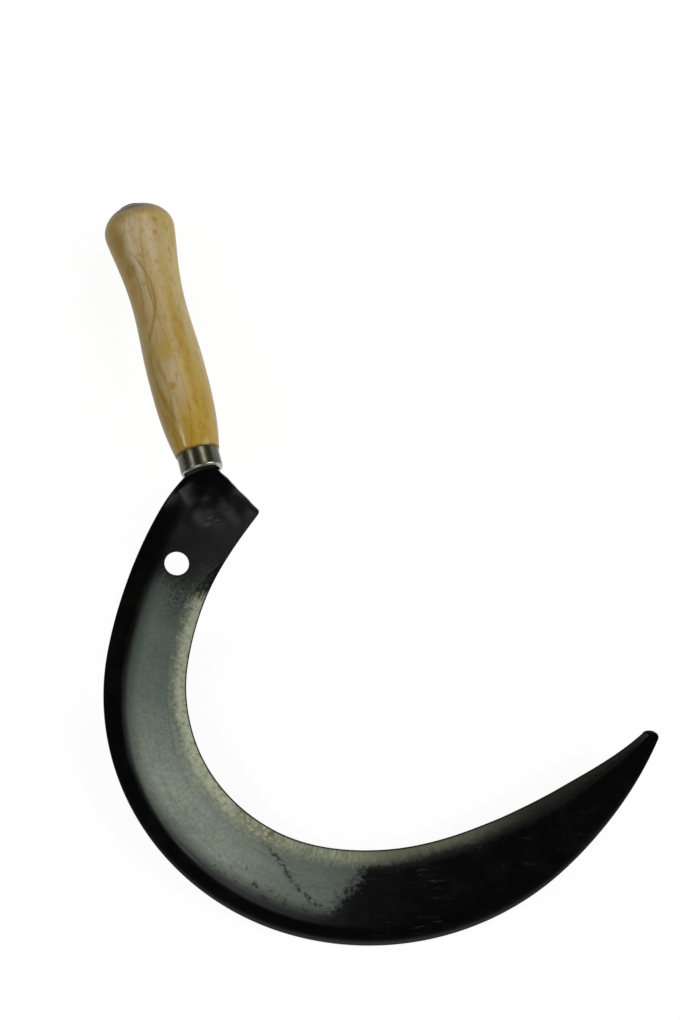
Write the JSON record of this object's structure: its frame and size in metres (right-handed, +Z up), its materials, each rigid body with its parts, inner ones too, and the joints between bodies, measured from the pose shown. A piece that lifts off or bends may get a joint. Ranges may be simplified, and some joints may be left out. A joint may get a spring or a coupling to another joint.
{
  "type": "sickle",
  "caption": "Hand sickle with a wide crescent blade, cranked neck and turned wooden handle, for cutting grass and grain by hand",
  "frame": {"origin": "on the table under the middle of the bounding box", "axes": "+Z up, out of the blade's front and off the table; +Y from the bow of the blade to the butt of the handle; +X from the back of the bow to the tip"},
  "size_m": [0.2884, 0.3925, 0.0691],
  "materials": {
    "blade_steel": "black lacquered steel, semi-gloss, with a bare ground bevel",
    "ferrule_steel": "semi-gloss",
    "handle_wood": "varnished",
    "washer_steel": "dull"
  },
  "bodies": {
    "root": {"blade": "blade_steel", "ferrule": "ferrule_steel", "handle": "handle_wood", "butt_washer": "washer_steel"}
  },
  "joints": []
}
